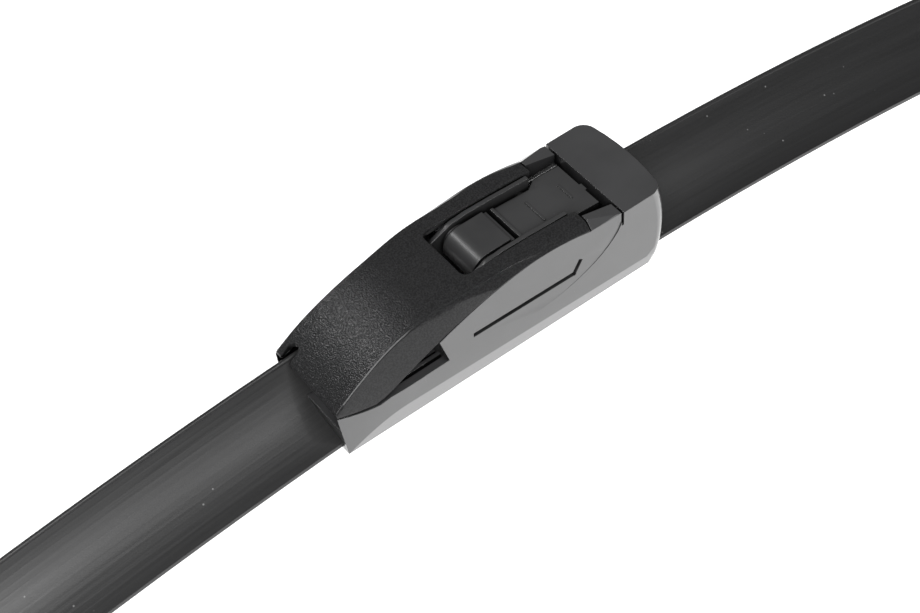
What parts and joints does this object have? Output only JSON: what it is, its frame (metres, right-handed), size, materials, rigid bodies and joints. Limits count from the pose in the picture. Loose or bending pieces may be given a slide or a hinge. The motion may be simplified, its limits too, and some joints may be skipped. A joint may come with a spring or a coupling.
{
  "type": "wiper blade",
  "caption": "Flat car wiper blade with a rubber spoiler, bowed steel rails and a centre connector whose swivelling insert takes a hooked arm.",
  "frame": {"origin": "middle of the pivot pin, which is the centre of the barrel that the arm's hook goes round", "axes": "+X along the blade towards the connector's end block, +Y across it towards the side of the spoiler's crest, +Z away from the glass"},
  "size_m": [0.397, 0.0244, 0.0569],
  "materials": {
    "wiping_rubber": "matte black rubber",
    "spring_steel": "rolled spring steel",
    "pressed_steel": "zinc-plated sheet steel",
    "rivet_steel": "bright drawn steel",
    "housing_plastic": "satin to semi-gloss black moulding",
    "cover_plastic": "fine-grained matte black moulding",
    "insert_plastic": "satin black moulding",
    "lever_plastic": "satin black moulding",
    "spoiler_rubber": "satin extruded black rubber",
    "cap_plastic": "satin black moulding"
  },
  "bodies": {
    "blade": {"wiper_rubber": "wiping_rubber", "rail_front": "spring_steel", "rail_rear": "spring_steel", "bridge_bracket": "pressed_steel", "pivot_pin": "rivet_steel", "connector_base": "housing_plastic", "ramp_cover": "cover_plastic", "spoiler_left": "spoiler_rubber", "spoiler_right": "spoiler_rubber", "rail_clip_left": "pressed_steel", "rail_clip_right": "pressed_steel", "end_cap_left": "cap_plastic", "end_cap_right": "cap_plastic"},
    "adapter": {"arm_adapter": "insert_plastic"},
    "lever": {"release_lever": "lever_plastic"}
  },
  "joints": [
    {"name": "adapter_pivot", "type": "hinge", "parent": "blade", "child": "adapter", "pos_m": [0, 0, 0], "axis": [0, -1, 0], "range_deg": [0, 20]},
    {"name": "lever_press", "type": "hinge", "parent": "adapter", "child": "lever", "pos_m": [0.0157, 0, 0.0004], "axis": [0, -1, 0], "range_deg": [0, 5], "stiffness_Nm_per_rad": 0.02, "springref_deg": -5.73}
  ]
}
